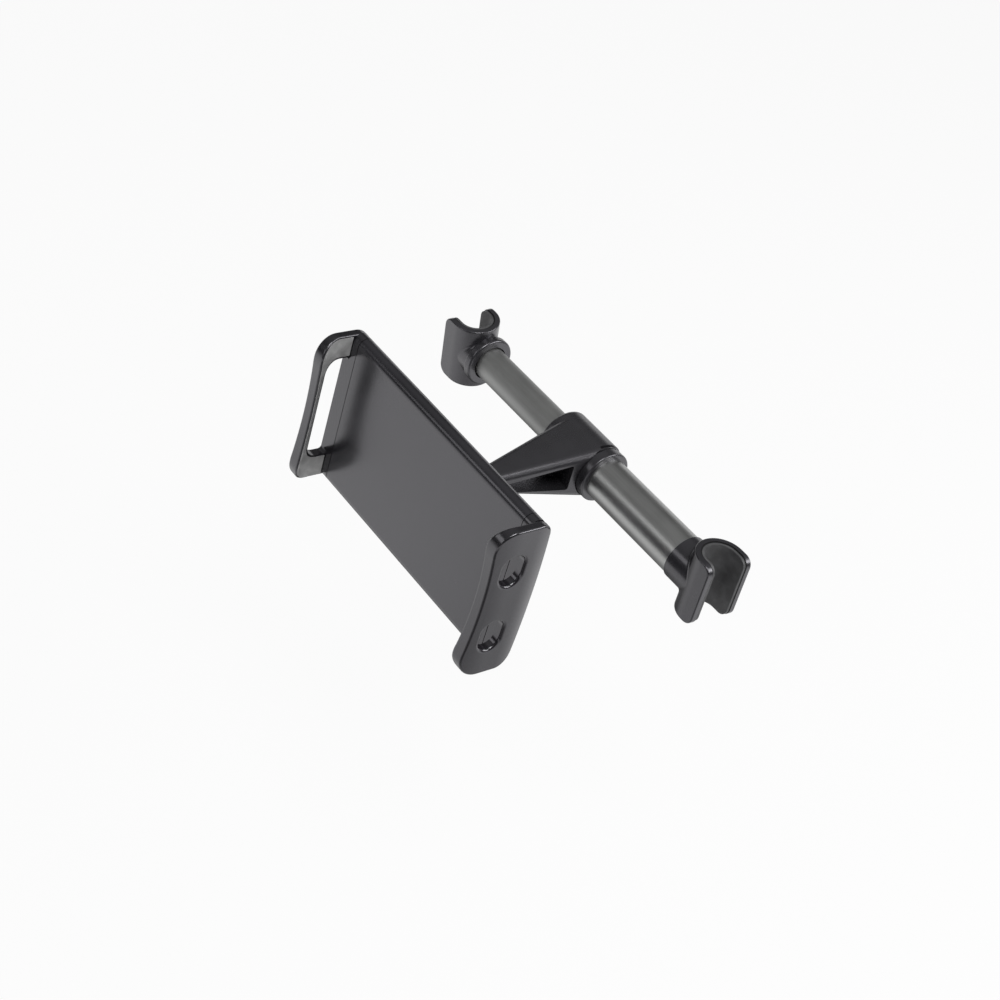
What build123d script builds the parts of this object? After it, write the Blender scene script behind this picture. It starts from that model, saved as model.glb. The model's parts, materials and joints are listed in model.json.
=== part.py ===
"""Headrest tablet mount: a sprung telescopic rod that sits between two headrest posts,
with a bracket arm, a ball joint and a self-centring sprung tablet holder.

Frame: millimetres, +Z up. The rod runs along X with its axis through the origin,
the bracket arm points to -Y and the tablet faces -Y.
"""
from build123d import *
import math
import os

os.makedirs("parts", exist_ok=True)

# Fits
RUNNING_GAP = 0.05
END_GAP = 0.3
SEAM_GAP = 0.3

# Length of a cut that runs right out of a piece
OVERCUT = 40.0

# Share of a direction that a face or edge has to have to count as facing or running that way
FACING = 0.8

# Telescopic rod
OUTER_TUBE_OD = 18.0
OUTER_TUBE_WALL = 1.0
TUBE_CLEARANCE = 1.0
INNER_TUBE_WALL = 1.2
BUSH_LENGTH = 8.0
BUSH_FLANGE = 1.6
BUSH_FLANGE_STEP = 1.5
BUSH_SETBACK = 0.6
PISTON_LENGTH = 6.0
PISTON_SPIGOT = 8.0
ROD_SPRING_WIRE = 1.2
ROD_SPRING_CLEARANCE = 1.5
ROD_SPRING_TURNS = 7
WIRE_SIDES = 4

# Post cradles
RIGHT_POST_REACH = 16.2
LEFT_POST_REACH = 13.4
POST_DIAMETER = 13.0
PAD_THICKNESS = 1.5
SHELL_WALL = 2.2
HOOK_HEIGHT = 28.4
LONG_LEG = 6.9
SHORT_LEG = 5.1
LIP_RADIUS = 4.0
RIM_ROUND = 0.6
PAD_SETBACK = 0.3
HOOK_FACE = 64.6
NECK_STEP = 0.6
NECK_FOOT_ROUND = 1.8
HOOK_SPIGOT = 8.0
RIGHT_HOOK_TURN = 2.0
LEFT_HOOK_TURN = 9.0
COLLAR_STEP = 1.2
COLLAR_WIDTH = 4.0
COLLAR_ROUND = 1.0
SOCKET_DEPTH = 3.0
SOCKET_GAP = 0.6
LEFT_SPIGOT = 12.0
PLUG_LENGTH = 8.0
SCREW_DIAMETER = 3.5
SCREW_HOLE = 4.2
SCREW_HEAD_OD = 7.0
SCREW_HEAD_HEIGHT = 2.0
SCREW_RECESS_OD = 7.8
SCREW_GRIP = 6.0

# Bracket
BARREL_LEFT = -14.5
RING_RIGHT = 15.0
BARREL_STEP = 2.8
BARREL_ROUND = 1.8
RING_WIDTH = 5.7
RING_STEP = 2.3
RING_GROOVE = 0.5
RING_ROUND = 0.7
ARM_DROOP = 1.5
ARM_HALF_WIDTH_ROOT = 12.8
ARM_HALF_WIDTH_TIP = 4.55
ARM_HALF_HEIGHT_TIP = 3.47
ARM_ROUND = 3.0
ARM_WEB = 3.0
POCKET_START = 14.0
POCKET_END_WALL = 6.0
POCKET_TOP_ROOT = 6.3
POCKET_TOP_TIP = 0.4
POCKET_BOTTOM_ROOT = 5.6
POCKET_BOTTOM_TIP = 3.2
POCKET_ROUND = 1.0

# Ball joint
BALL_CENTRE = 61.0
BALL_TO_ARM = 11.0
BALL_DIAMETER = 17.0
BALL_NECK = 7.0
STUD_SHANK = 4.0
STUD_SHANK_LENGTH = 14.0
LINER_GAP = 0.1
LINER_WALL = 0.9
LINER_RIM = 1.6
SOCKET_BALL_GAP = 0.2
SOCKET_OD = 24.0
SOCKET_RIM = 1.0
NUT_OD = 31.0
NUT_LIP_START = 2.6
NUT_LIP_END = 5.2
NUT_LIP_OPENING = 14.8
NUT_BORE_GAP = 0.1
NUT_LIP_GAP = 0.25
NUT_CHAMFER = 2.0
NUT_GRIPS = 18
NUT_GRIP_OD = 2.4

# Tablet holder
BALL_TO_FRONT = 18.6
PANEL_LENGTH = 107.8
PANEL_HEIGHT = 68.1
PANEL_THICKNESS = 7.1
PANEL_WALL = 1.7
PANEL_END_WALL = 2.0
PANEL_EDGE_WALL = 4.05
HUB_OD = 36.0
HUB_HEIGHT = 2.0
HUB_ROUND = 1.2
COVER_SCREW_END_INSET = 7.9
COVER_SCREW_EDGE_INSET = 3.2
COVER_SCREW_BOSS = 5.6
COVER_SCREW_OD = 2.2
COVER_SCREW_HEAD_OD = 4.6
COVER_SCREW_HEAD = 0.9
COVER_SCREW_GRIP = 3.6
SCREW_CROSS_LENGTH = 2.8
SCREW_CROSS_WIDTH = 0.6
SCREW_CROSS_DEPTH = 0.6
GUIDE_RIB = 1.4

# Jaws
JAW_TRAVEL = 40.0
JAW_STRIP = 4.0
JAW_WALL = 3.7
JAW_TRIM = 0.8
JAW_RISE = 0.2
JAW_REACH = 14.8
JAW_BEND = 4.9
JAW_WAIST = 1.4
JAW_LIP_INSET = 3.8
JAW_LIP_ROUND = 0.7
JAW_LEAN = 1.2
JAW_FRONT_RADIUS = 8.5
JAW_FLAT = 1.6
JAW_SHOULDER_RADIUS = 16.0
JAW_BACK_START = 1.6
JAW_BACK_TURN = 1.8
JAW_BACK_BULGE = 2.4
JAW_BACK_TOP_RADIUS = 6.0
JAW_BACK_OVERHANG = 1.0
JAW_BACK_BOTTOM_RADIUS = 7.0
JAW_RIM_ROUND = 0.9
WINDOW_HEIGHT = 46.4
WINDOW_RISE = 0.3
WINDOW_FRONT = 10.1
WINDOW_BACK_RADIUS = 1.5
WINDOW_FRONT_RADIUS = 6.0
HOLE_SPACING = 30.4
HOLE_HEIGHT = 13.6
HOLE_WIDTH = 9.2
HOLE_RIM_ROUND = 1.2

# Rack and pinion
MODULE = 1.0
PINION_TEETH = 12
PRESSURE_ANGLE = 25.0
ADDENDUM = 0.85
DEDENDUM = 1.1
BACKLASH = 0.3
FLANK_POINTS = 4
TOOTH_SINK = 0.4
PINION_BORE = 4.0
RACK_THICKNESS = 3.1
RACK_BACK = 15.0
RACK_TEETH = 17
RACK_LEAD = 2
JAW_SPRING_OD = 3.0
JAW_SPRING_WIRE = 0.5
JAW_SPRING_TURNS = 9
JAW_SPRING_LEG = 4.0
JAW_SPRING_Z = 20.6
JAW_SPRING_LENGTH = 40.0
SPRING_LUG_X = 8.0
SPRING_LUG_WIDTH = 4.0
SPRING_LUG_THICKNESS = 1.0
SPRING_POST_OD = 3.0
SPRING_LOOP_GAP = 0.1

# Places worked out from the sizes above
outer_tube_r = OUTER_TUBE_OD / 2
outer_bore_r = outer_tube_r - OUTER_TUBE_WALL
inner_tube_r = outer_bore_r - TUBE_CLEARANCE
inner_bore_r = inner_tube_r - INNER_TUBE_WALL
bush_flange_r = outer_tube_r + BUSH_FLANGE_STEP
barrel_r = outer_tube_r + BARREL_STEP
ring_r = outer_tube_r + RING_STEP
hook_neck_r = outer_tube_r + NECK_STEP
collar_r = hook_neck_r + COLLAR_STEP
ring_left = RING_RIGHT - RING_WIDTH
barrel_right = ring_left - END_GAP
bush_left = BARREL_LEFT + BUSH_SETBACK
tube_left = bush_left + BUSH_FLANGE
bush_right = tube_left + BUSH_LENGTH
piston_left = bush_right + END_GAP
piston_right = piston_left + PISTON_LENGTH
spigot_end = HOOK_FACE - HOOK_SPIGOT

right_post = HOOK_FACE + RIGHT_POST_REACH
left_post = HOOK_FACE + LEFT_POST_REACH
pad_inner_r = POST_DIAMETER / 2
pad_outer_r = pad_inner_r + PAD_THICKNESS
shell_r = pad_outer_r + SHELL_WALL
socket_bottom = HOOK_FACE + SOCKET_DEPTH
left_spigot_end = socket_bottom - LEFT_SPIGOT
plug_outer = left_spigot_end - END_GAP
screw_seat = left_post - pad_outer_r - SCREW_HEAD_HEIGHT - 2 * END_GAP
screw_end = plug_outer - SCREW_GRIP

arm_end = BALL_CENTRE - BALL_TO_ARM
pocket_end = arm_end - POCKET_END_WALL
arm_tip_reach = math.hypot(arm_end, ARM_HALF_HEIGHT_TIP)
arm_slope = math.asin(barrel_r / arm_tip_reach) - math.atan2(ARM_HALF_HEIGHT_TIP, arm_end)

ball_r = BALL_DIAMETER / 2
ball_y = -BALL_CENTRE * math.cos(math.radians(ARM_DROOP))
holder_z = -BALL_CENTRE * math.sin(math.radians(ARM_DROOP))
liner_inner_r = ball_r + LINER_GAP
liner_outer_r = liner_inner_r + LINER_WALL
socket_r = liner_outer_r + SOCKET_BALL_GAP

front_y = -BALL_CENTRE - BALL_TO_FRONT
mid_y = front_y + PANEL_THICKNESS / 2
back_y = front_y + PANEL_THICKNESS
cavity_front_y = front_y + PANEL_WALL
cavity_back_y = back_y - PANEL_WALL
panel_end = PANEL_LENGTH / 2
cavity_end = panel_end - PANEL_END_WALL
cavity_height = PANEL_HEIGHT - 2 * PANEL_EDGE_WALL
cover_screw_x = cavity_end - COVER_SCREW_END_INSET
cover_screw_z = cavity_height / 2 - COVER_SCREW_EDGE_INSET
hub_y = back_y + HUB_HEIGHT
nut_left_y = hub_y + END_GAP

strip_inner = panel_end + SEAM_GAP
wall_inner = panel_end + JAW_STRIP
wall_outer = wall_inner + JAW_WALL
pitch_r = MODULE * PINION_TEETH / 2
tooth_pitch = math.pi * MODULE
pressure = math.radians(PRESSURE_ANGLE)
base_r = pitch_r * math.cos(pressure)
rack_edge = pitch_r - ADDENDUM
rack_overlap = JAW_TRAVEL + pitch_r
rack_front_y = mid_y - RACK_THICKNESS / 2

holder_axis = Axis((0, 0, holder_z), (0, 1, 0))
holder_plan = Plane.XY.offset(holder_z)


def xz_plane(y):
    """Plane facing -Y at the given y, with the holder's centre as its origin."""
    return Plane(origin=(0, y, holder_z), x_dir=(1, 0, 0), z_dir=(0, -1, 0))


def arm_half_height(reach):
    """Half height of the arm at a distance in front of the rod axis."""
    return barrel_r / math.cos(arm_slope) - math.tan(arm_slope) * reach


# Rod tubes
with BuildPart() as outer_tube:
    with BuildSketch(Plane.YZ.offset(tube_left)):
        Circle(outer_tube_r)
        Circle(outer_bore_r, mode=Mode.SUBTRACT)
    extrude(amount=HOOK_FACE - tube_left)

with BuildPart() as inner_tube:
    with BuildSketch(Plane.YZ.offset(-socket_bottom)):
        Circle(inner_tube_r)
        Circle(inner_bore_r, mode=Mode.SUBTRACT)
    extrude(amount=socket_bottom + piston_left)

# Flanged bush in the mouth of the outer tube
with BuildPart() as guide_bush:
    with BuildSketch(Plane.YZ.offset(bush_left)):
        Circle(bush_flange_r)
    extrude(amount=BUSH_FLANGE)
    with BuildSketch(Plane.YZ.offset(tube_left)):
        Circle(outer_bore_r)
    extrude(amount=BUSH_LENGTH)
    with BuildSketch(Plane.YZ.offset(bush_left)):
        Circle(inner_tube_r + RUNNING_GAP)
    extrude(amount=BUSH_FLANGE + BUSH_LENGTH, mode=Mode.SUBTRACT)

# Piston that carries the inner end of the inner tube
with BuildPart() as piston:
    with BuildSketch(Plane.YZ.offset(piston_left)):
        Circle(outer_bore_r - RUNNING_GAP)
    extrude(amount=PISTON_LENGTH)
    with BuildSketch(Plane.YZ.offset(piston_left)):
        Circle(inner_bore_r)
    extrude(amount=-PISTON_SPIGOT)

# Compression spring between the piston and the right hook
spring_r = outer_bore_r - ROD_SPRING_CLEARANCE - ROD_SPRING_WIRE / 2
spring_start = piston_right + ROD_SPRING_WIRE / 2
spring_length = spigot_end - piston_right - ROD_SPRING_WIRE
with BuildPart() as rod_spring:
    with BuildLine():
        coil = Helix(
            spring_length / ROD_SPRING_TURNS,
            spring_length,
            spring_r,
            center=(spring_start, 0, 0),
            direction=(1, 0, 0))
    with BuildSketch(Plane(origin=coil @ 0, z_dir=coil % 0)):
        RegularPolygon(ROD_SPRING_WIRE / 2, WIRE_SIDES)
    sweep(path=coil)


def cradle_profile(post_x, radius, long_leg, short_leg):
    """U outline round a post: a half circle and the two legs out to the mouth.

    Both hooks are the same moulding, so the long leg is behind on the right and in front on the left.
    """
    side = math.copysign(1, post_x)
    with BuildLine() as outline:
        Polyline(
            (post_x, -side * radius),
            (post_x + side * short_leg, -side * radius),
            (post_x + side * long_leg, side * radius),
            (post_x, side * radius))
        ThreePointArc(
            (post_x, side * radius),
            (post_x - side * radius, 0),
            (post_x, -side * radius))
    make_face(outline.edges())


def arcs_of(block, radius):
    """Round edges of a block that have the given radius."""
    return block.edges().filter_by(GeomType.CIRCLE).filter_by(
        lambda edge: abs(edge.radius - radius) < RUNNING_GAP)


def make_cradle(post_x, outer_r, inner_r, setback):
    """U-shaped cradle wall round a post, with rounded lips, set back from the mouth and ends."""
    height = HOOK_HEIGHT - 2 * setback
    with BuildPart() as cradle:
        with BuildSketch(Plane.XY.offset(-height / 2)):
            cradle_profile(post_x, outer_r, LONG_LEG - setback, SHORT_LEG - setback)
        extrude(amount=height)
        mouth = cradle.faces().sort_by(Axis.X)[-1 if post_x > 0 else 0]
        lips = mouth.edges().sort_by(Axis.Z)
        fillet([lips[0], lips[-1]], LIP_RADIUS - setback)
        if setback == 0:
            fillet(arcs_of(cradle, outer_r), RIM_ROUND)
        with BuildSketch(Plane.XY.offset(-HOOK_HEIGHT / 2)):
            cradle_profile(post_x, inner_r, OVERCUT, OVERCUT)
        extrude(amount=HOOK_HEIGHT, mode=Mode.SUBTRACT)
    return cradle


def neck_foot(hook, post_x):
    """Curve along which a hook's round neck meets the round back of its cradle."""
    def off_shell(edge):
        """Distance of the edge's start from the back of the cradle."""
        return abs(math.hypot((edge @ 0).X - post_x, (edge @ 0).Y) - shell_r)
    return hook.edges().filter_by(GeomType.BSPLINE).filter_by(lambda edge: off_shell(edge) < RUNNING_GAP)


def make_hook(post_x):
    """Cradle with the neck that carries it, and a rounded foot between the two."""
    face_x = math.copysign(HOOK_FACE, post_x)
    cradle = make_cradle(post_x, shell_r, pad_outer_r, 0)
    with BuildPart() as hook:
        with BuildSketch(Plane.YZ.offset(face_x)):
            Circle(hook_neck_r)
        extrude(amount=post_x - face_x)
        with BuildSketch(Plane.XY.offset(-HOOK_HEIGHT / 2)):
            cradle_profile(post_x, pad_outer_r, OVERCUT, OVERCUT)
        extrude(amount=HOOK_HEIGHT, mode=Mode.SUBTRACT)
        add(cradle.part)
        fillet(neck_foot(hook, post_x), NECK_FOOT_ROUND)
    return hook


right_pad = make_cradle(right_post, pad_outer_r, pad_inner_r, PAD_SETBACK)
left_pad = make_cradle(-left_post, pad_outer_r, pad_inner_r, PAD_SETBACK)

# Right hook: a spigot on its neck is pressed into the outer tube
right_body = make_hook(right_post)
with BuildPart() as right_hook:
    add(right_body.part)
    with BuildSketch(Plane.YZ.offset(HOOK_FACE)):
        Circle(outer_bore_r)
    extrude(amount=-HOOK_SPIGOT)

# Left hook: a collar on its neck, a socket for the inner tube and a bored spigot
left_body = make_hook(-left_post)
with BuildPart() as left_hook:
    with BuildSketch(Plane.YZ.offset(-HOOK_FACE)):
        Circle(collar_r)
    extrude(amount=-COLLAR_WIDTH)
    fillet(left_hook.edges().filter_by(GeomType.CIRCLE), COLLAR_ROUND)
    with BuildSketch(Plane.XY.offset(-HOOK_HEIGHT / 2)):
        cradle_profile(-left_post, pad_outer_r, OVERCUT, OVERCUT)
    extrude(amount=HOOK_HEIGHT, mode=Mode.SUBTRACT)
    add(left_body.part)
    with BuildSketch(Plane.YZ.offset(-HOOK_FACE)):
        Circle(inner_tube_r + SOCKET_GAP)
    extrude(amount=-SOCKET_DEPTH - END_GAP, mode=Mode.SUBTRACT)
    with BuildSketch(Plane.YZ.offset(-socket_bottom - END_GAP)):
        Circle(inner_bore_r - RUNNING_GAP)
    extrude(amount=LEFT_SPIGOT + END_GAP)
    with BuildSketch(Plane.YZ.offset(-left_spigot_end)):
        Circle(SCREW_HOLE / 2)
    extrude(amount=left_spigot_end - left_post, mode=Mode.SUBTRACT)
    with BuildSketch(Plane.YZ.offset(-screw_seat + END_GAP)):
        Circle(SCREW_RECESS_OD / 2)
    extrude(amount=screw_seat - left_post, mode=Mode.SUBTRACT)

# Plug in the inner tube, and the screw that holds the left hook to it
with BuildPart() as end_plug:
    with BuildSketch(Plane.YZ.offset(-plug_outer)):
        Circle(inner_bore_r)
        Circle(SCREW_DIAMETER / 2, mode=Mode.SUBTRACT)
    extrude(amount=PLUG_LENGTH)

with BuildPart() as hook_screw:
    with BuildSketch(Plane.YZ.offset(-screw_seat)):
        Circle(SCREW_HEAD_OD / 2)
    extrude(amount=-SCREW_HEAD_HEIGHT)
    with BuildSketch(Plane.YZ.offset(-screw_seat)):
        Circle(SCREW_DIAMETER / 2)
    extrude(amount=screw_seat - screw_end)

# Ring that keeps the bracket on the outer tube
with BuildPart() as collar_ring:
    with BuildSketch(Plane.YZ.offset(ring_left)):
        Circle(ring_r)
        Circle(outer_tube_r, mode=Mode.SUBTRACT)
    extrude(amount=RING_WIDTH)
    fillet(arcs_of(collar_ring, ring_r), RING_ROUND)
    with BuildSketch(Plane.YZ.offset(ring_left + 2 * RING_ROUND)):
        Circle(ring_r)
        Circle(ring_r - RING_GROOVE, mode=Mode.SUBTRACT)
    extrude(amount=RING_GROOVE, mode=Mode.SUBTRACT)

# Bracket: barrel round the tube, and a tapered arm with a pocket in each side
arm_back = barrel_r * math.sin(arm_slope)
with BuildPart() as bracket_arm:
    with BuildSketch(Plane.YZ.offset(-ARM_HALF_WIDTH_ROOT)):
        with BuildLine():
            Polyline(
                (-arm_back, arm_half_height(arm_back)),
                (-arm_end, ARM_HALF_HEIGHT_TIP),
                (-arm_end, -ARM_HALF_HEIGHT_TIP),
                (-arm_back, -arm_half_height(arm_back)),
                close=True)
        make_face()
    extrude(amount=2 * ARM_HALF_WIDTH_ROOT)
    with BuildSketch(Plane.XY.offset(-barrel_r)):
        with BuildLine():
            Polyline(
                (-ARM_HALF_WIDTH_ROOT, 0),
                (ARM_HALF_WIDTH_ROOT, 0),
                (ARM_HALF_WIDTH_TIP, -arm_end),
                (-ARM_HALF_WIDTH_TIP, -arm_end),
                close=True)
        make_face()
    extrude(amount=2 * barrel_r, mode=Mode.INTERSECT)
    long_edges = bracket_arm.edges().filter_by(lambda edge: abs(edge.tangent_at(0).Y) > FACING)
    fillet(long_edges, ARM_ROUND)
    for side in (1, -1):
        with BuildSketch(Plane.YZ.offset(side * ARM_WEB / 2)):
            with BuildLine():
                Polyline(
                    (-POCKET_START, POCKET_TOP_ROOT),
                    (-pocket_end, POCKET_TOP_TIP),
                    (-pocket_end, -POCKET_BOTTOM_TIP),
                    (-POCKET_START, -POCKET_BOTTOM_ROOT),
                    close=True)
            make_face()
            fillet(vertices(), POCKET_ROUND)
        extrude(amount=side * ARM_HALF_WIDTH_ROOT, mode=Mode.SUBTRACT)
    with BuildSketch(Plane.YZ.offset(BARREL_LEFT)):
        Circle(barrel_r)
    extrude(amount=barrel_right - BARREL_LEFT)
    barrel_rim = bracket_arm.edges().filter_by(GeomType.CIRCLE).filter_by_position(
        Axis.X, BARREL_LEFT - RUNNING_GAP, BARREL_LEFT + RUNNING_GAP)
    fillet(barrel_rim, BARREL_ROUND)
    with BuildSketch(Plane.YZ.offset(BARREL_LEFT)):
        Circle(outer_tube_r + RUNNING_GAP)
    extrude(amount=OVERCUT, mode=Mode.SUBTRACT)
    with BuildSketch(Plane.YZ.offset(BARREL_LEFT)):
        Circle(bush_flange_r + END_GAP)
    extrude(amount=BUSH_SETBACK + BUSH_FLANGE + END_GAP, mode=Mode.SUBTRACT)
    with BuildSketch(Plane.YZ.offset(barrel_right)):
        Circle(ring_r + END_GAP)
    extrude(amount=OVERCUT, mode=Mode.SUBTRACT)
    with BuildSketch(Plane.XZ.offset(arm_end)):
        Circle(STUD_SHANK / 2)
    extrude(amount=-STUD_SHANK_LENGTH, mode=Mode.SUBTRACT)

# Ball stud pressed into the arm's end
neck_r = BALL_NECK / 2
neck_start = -BALL_CENTRE + math.sqrt(ball_r ** 2 - neck_r ** 2)
with BuildPart() as ball_stud:
    with BuildSketch(Plane.XY):
        with BuildLine():
            Polyline(
                (0, -BALL_CENTRE - ball_r),
                (0, -arm_end + STUD_SHANK_LENGTH),
                (STUD_SHANK / 2, -arm_end + STUD_SHANK_LENGTH),
                (STUD_SHANK / 2, -arm_end),
                (neck_r, -arm_end),
                (neck_r, neck_start))
            ThreePointArc(
                (neck_r, neck_start),
                (ball_r, -BALL_CENTRE),
                (0, -BALL_CENTRE - ball_r))
        make_face()
    revolve(axis=Axis.Y)

# Spherical liner between the ball and the socket
with BuildPart() as ball_liner:
    with BuildSketch(holder_plan):
        with Locations((0, ball_y)):
            Circle(liner_outer_r)
            Circle(liner_inner_r, mode=Mode.SUBTRACT)
        with Locations((0, ball_y - LINER_RIM - liner_outer_r)):
            Rectangle(4 * liner_outer_r, 2 * liner_outer_r, mode=Mode.INTERSECT)
        with Locations((-liner_outer_r, ball_y)):
            Rectangle(2 * liner_outer_r, 4 * liner_outer_r, mode=Mode.SUBTRACT)
    revolve(axis=holder_axis)

# Lock nut whose lip keeps the ball in the socket
nut_bore_r = SOCKET_OD / 2 + NUT_BORE_GAP
nut_lip_r = ball_r + NUT_LIP_GAP
lip_start_r = math.sqrt(nut_lip_r ** 2 - NUT_LIP_START ** 2)
lip_mouth_y = ball_y + math.sqrt(nut_lip_r ** 2 - (NUT_LIP_OPENING / 2) ** 2)
lip_mid_y = (ball_y + NUT_LIP_START + lip_mouth_y) / 2
with BuildPart() as lock_nut:
    with BuildSketch(holder_plan):
        with BuildLine():
            Polyline(
                (NUT_LIP_OPENING / 2, lip_mouth_y),
                (NUT_LIP_OPENING / 2, ball_y + NUT_LIP_END),
                (NUT_OD / 2 - NUT_CHAMFER, ball_y + NUT_LIP_END),
                (NUT_OD / 2, ball_y + NUT_LIP_END - NUT_CHAMFER),
                (NUT_OD / 2, nut_left_y),
                (nut_bore_r, nut_left_y),
                (nut_bore_r, ball_y + NUT_LIP_START),
                (lip_start_r, ball_y + NUT_LIP_START))
            ThreePointArc(
                (lip_start_r, ball_y + NUT_LIP_START),
                (math.sqrt(nut_lip_r ** 2 - (lip_mid_y - ball_y) ** 2), lip_mid_y),
                (NUT_LIP_OPENING / 2, lip_mouth_y))
        make_face()
    revolve(axis=holder_axis)
    with BuildSketch(xz_plane(nut_left_y)):
        with PolarLocations(NUT_OD / 2 + NUT_GRIP_OD / 4, NUT_GRIPS):
            Circle(NUT_GRIP_OD / 2)
    extrude(amount=-OVERCUT, mode=Mode.SUBTRACT)


def panel_profile():
    """Section of the holder: flat faces and full round long edges."""
    with Locations((mid_y, holder_z)):
        SlotOverall(PANEL_HEIGHT, PANEL_THICKNESS, rotation=90)


def screw_places():
    """Places of the four cover screws on a plane at the holder's centre."""
    return GridLocations(2 * cover_screw_x, 2 * cover_screw_z, 2, 2)


def tongue_slots():
    """Slots in the two end walls through which the racks run."""
    slot_height = RACK_BACK - rack_edge + 2 * END_GAP
    slot_centre = (RACK_BACK + rack_edge) / 2
    for side in (1, -1):
        with Locations((side * (cavity_end + PANEL_END_WALL / 2), side * slot_centre)):
            Rectangle(2 * PANEL_END_WALL, slot_height)


# Front half of the holder's housing
with BuildPart() as front_panel:
    with BuildSketch(Plane.YZ.offset(-panel_end)):
        panel_profile()
    extrude(amount=PANEL_LENGTH)
    split(bisect_by=xz_plane(mid_y), keep=Keep.TOP)
    with BuildSketch(xz_plane(mid_y)):
        Rectangle(2 * cavity_end, cavity_height)
    extrude(amount=mid_y - cavity_front_y, mode=Mode.SUBTRACT)
    with BuildSketch(xz_plane(mid_y)):
        tongue_slots()
    extrude(amount=mid_y - cavity_front_y, mode=Mode.SUBTRACT)
    with BuildSketch(xz_plane(cavity_back_y)):
        with screw_places():
            Circle(COVER_SCREW_BOSS / 2)
            Circle(COVER_SCREW_OD / 2, mode=Mode.SUBTRACT)
    extrude(amount=cavity_back_y - cavity_front_y)
    with BuildSketch(xz_plane(mid_y)):
        with GridLocations(0, 2 * RACK_BACK + 2 * END_GAP + GUIDE_RIB, 1, 2):
            Rectangle(2 * cavity_end, GUIDE_RIB)
    extrude(amount=mid_y - cavity_front_y)

# Back half of the housing, with the hub and the ball socket
with BuildPart() as back_cover:
    with BuildSketch(Plane.YZ.offset(-panel_end)):
        panel_profile()
    extrude(amount=PANEL_LENGTH)
    split(bisect_by=xz_plane(mid_y), keep=Keep.BOTTOM)
    with BuildSketch(xz_plane(cavity_back_y)):
        Rectangle(2 * cavity_end, cavity_height)
    extrude(amount=cavity_back_y - mid_y, mode=Mode.SUBTRACT)
    with BuildSketch(xz_plane(cavity_back_y)):
        tongue_slots()
    extrude(amount=cavity_back_y - mid_y, mode=Mode.SUBTRACT)
    with BuildSketch(xz_plane(back_y)):
        Circle(HUB_OD / 2)
    extrude(amount=-HUB_HEIGHT)
    hub_rim = back_cover.edges().filter_by(GeomType.CIRCLE).sort_by(Axis.Y)[-1]
    fillet(hub_rim, HUB_ROUND)
    with BuildSketch(xz_plane(hub_y)):
        Circle(SOCKET_OD / 2)
    extrude(amount=hub_y - ball_y - SOCKET_RIM)
    with BuildSketch(holder_plan):
        with Locations((0, ball_y)):
            Circle(socket_r)
        with Locations((-socket_r, ball_y)):
            Rectangle(2 * socket_r, 4 * socket_r, mode=Mode.SUBTRACT)
    revolve(axis=holder_axis, mode=Mode.SUBTRACT)
    with BuildSketch(xz_plane(cavity_back_y)):
        Circle(PINION_BORE / 2 - RUNNING_GAP)
    extrude(amount=cavity_back_y - cavity_front_y)
    for side in (1, -1):
        with BuildSketch(xz_plane(cavity_back_y)):
            with Locations((side * (SPRING_LUG_X - JAW_SPRING_LENGTH), side * JAW_SPRING_Z)):
                Circle(SPRING_POST_OD / 2)
        extrude(amount=cavity_back_y - cavity_front_y - END_GAP)
    with BuildSketch(xz_plane(back_y)):
        with screw_places():
            Circle(COVER_SCREW_OD / 2)
    extrude(amount=PANEL_THICKNESS, mode=Mode.SUBTRACT)
    with BuildSketch(xz_plane(back_y)):
        with screw_places():
            Circle(COVER_SCREW_HEAD_OD / 2 + RUNNING_GAP)
    extrude(amount=COVER_SCREW_HEAD, mode=Mode.SUBTRACT)

# The four screws that close the housing, with a cross in each head
with BuildPart() as cover_screws:
    with BuildSketch(xz_plane(back_y)):
        with screw_places():
            Circle(COVER_SCREW_HEAD_OD / 2)
    extrude(amount=COVER_SCREW_HEAD)
    with BuildSketch(xz_plane(back_y)):
        with screw_places():
            Circle(COVER_SCREW_OD / 2)
    extrude(amount=COVER_SCREW_HEAD + COVER_SCREW_GRIP)
    with BuildSketch(xz_plane(back_y)):
        with screw_places():
            Rectangle(SCREW_CROSS_LENGTH, SCREW_CROSS_WIDTH)
            Rectangle(SCREW_CROSS_WIDTH, SCREW_CROSS_LENGTH)
    extrude(amount=SCREW_CROSS_DEPTH, mode=Mode.SUBTRACT)


def rack_tooth(side, x):
    """Gap between two teeth of a rack, cut into its edge at the given x."""
    half_pitch_gap = tooth_pitch / 4 + BACKLASH / 4
    root = pitch_r + DEDENDUM
    top_half = half_pitch_gap + ADDENDUM * math.tan(pressure)
    root_half = half_pitch_gap - DEDENDUM * math.tan(pressure)
    with BuildLine() as outline:
        Polyline(
            (side * (x - top_half), side * rack_edge),
            (side * (x + top_half), side * rack_edge),
            (side * (x + root_half), side * root),
            (side * (x - root_half), side * root),
            close=True)
    make_face(outline.edges())


def wall_rim(jaw, side):
    """Edges round the faces of a jaw's wall that look to one side."""
    faces = jaw.faces().filter_by(lambda face: side * face.normal_at().X > FACING)
    edges = [edge for face in faces for edge in face.edges()]
    return [edge for edge in edges if edges.count(edge) == 1]


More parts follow.
